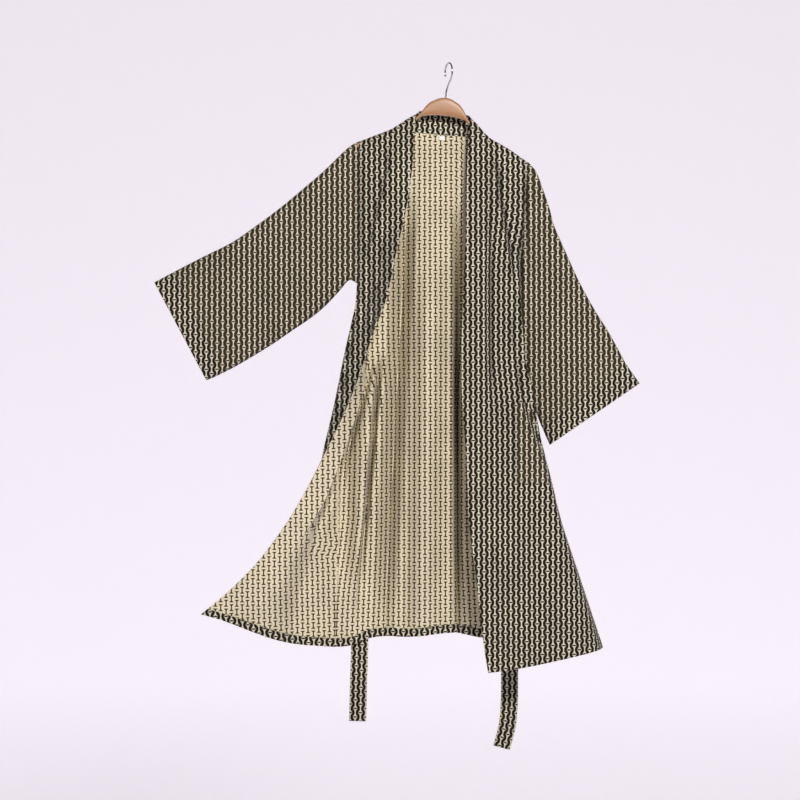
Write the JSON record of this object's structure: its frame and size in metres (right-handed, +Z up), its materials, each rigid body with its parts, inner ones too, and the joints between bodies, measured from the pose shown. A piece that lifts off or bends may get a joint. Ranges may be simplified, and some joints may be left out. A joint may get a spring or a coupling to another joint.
{
  "type": "kimono robe on a hanger",
  "caption": "Ankle-length open robe with a long collar band, wide cuffed sleeves, a patch pocket and a loose belt, hung on a wooden hanger with a wire hook.",
  "frame": {"origin": "the inside top of the hanger's hook, where it rests on a rod", "axes": "+Z up, -Y towards the robe's open front, +X to the right as the viewer of the front sees it"},
  "size_m": [1.1174, 0.2624, 1.594],
  "materials": {
    "robe_cloth": "jacquard",
    "robe_reverse": "jacquard",
    "band_cloth": "jacquard",
    "sleeve_cloth": "jacquard",
    "cuff_cloth": "jacquard",
    "belt_cloth": "jacquard",
    "label_cloth": "satin",
    "hanger_wood": "lacquered",
    "hook_steel": "polished"
  },
  "bodies": {
    "root": {"back": "robe_reverse", "left_front": "robe_cloth", "right_front": "robe_cloth", "collar_band": "band_cloth", "left_sleeve": "sleeve_cloth", "right_sleeve": "sleeve_cloth", "left_cuff": "cuff_cloth", "right_cuff": "cuff_cloth", "pocket": "sleeve_cloth", "belt": "belt_cloth", "left_belt_loop": "robe_cloth", "right_belt_loop": "robe_cloth", "neck_label": "label_cloth", "hanger_wood": "hanger_wood", "hanger_hook": "hook_steel"}
  },
  "joints": []
}
